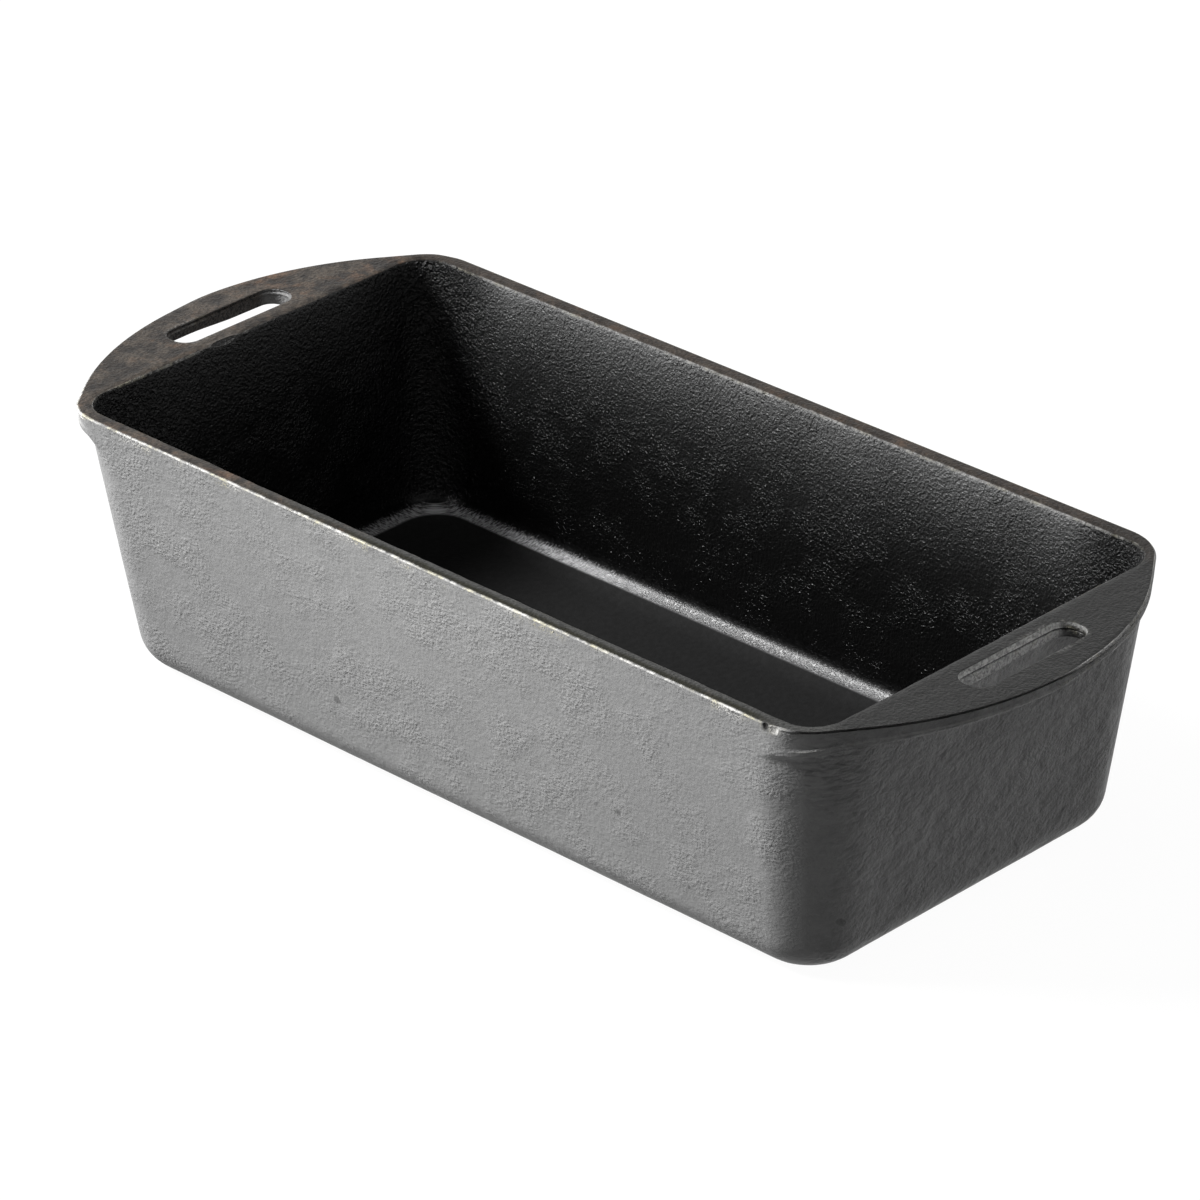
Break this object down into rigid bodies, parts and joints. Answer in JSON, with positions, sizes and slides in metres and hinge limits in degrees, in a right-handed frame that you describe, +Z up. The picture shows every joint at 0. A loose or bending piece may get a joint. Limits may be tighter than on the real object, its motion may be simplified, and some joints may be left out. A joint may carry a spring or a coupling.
{
  "type": "loaf pan",
  "caption": "Rectangular cast iron loaf pan with tapered walls, rounded corners, a flat ground rim and a bowed, slotted handle at each end, for baking bread.",
  "frame": {"origin": "middle of the flat bottom", "axes": "+X along the pan's length, through both handles; +Y across it; +Z up, out of the open top"},
  "size_m": [0.2976, 0.128, 0.0726],
  "materials": {
    "iron": "sand cast and seasoned: satin grey outside, black and sandy inside, flat ground rim"
  },
  "bodies": {
    "root": {"pan_body": "iron", "left_handle": "iron", "right_handle": "iron"}
  },
  "joints": []
}
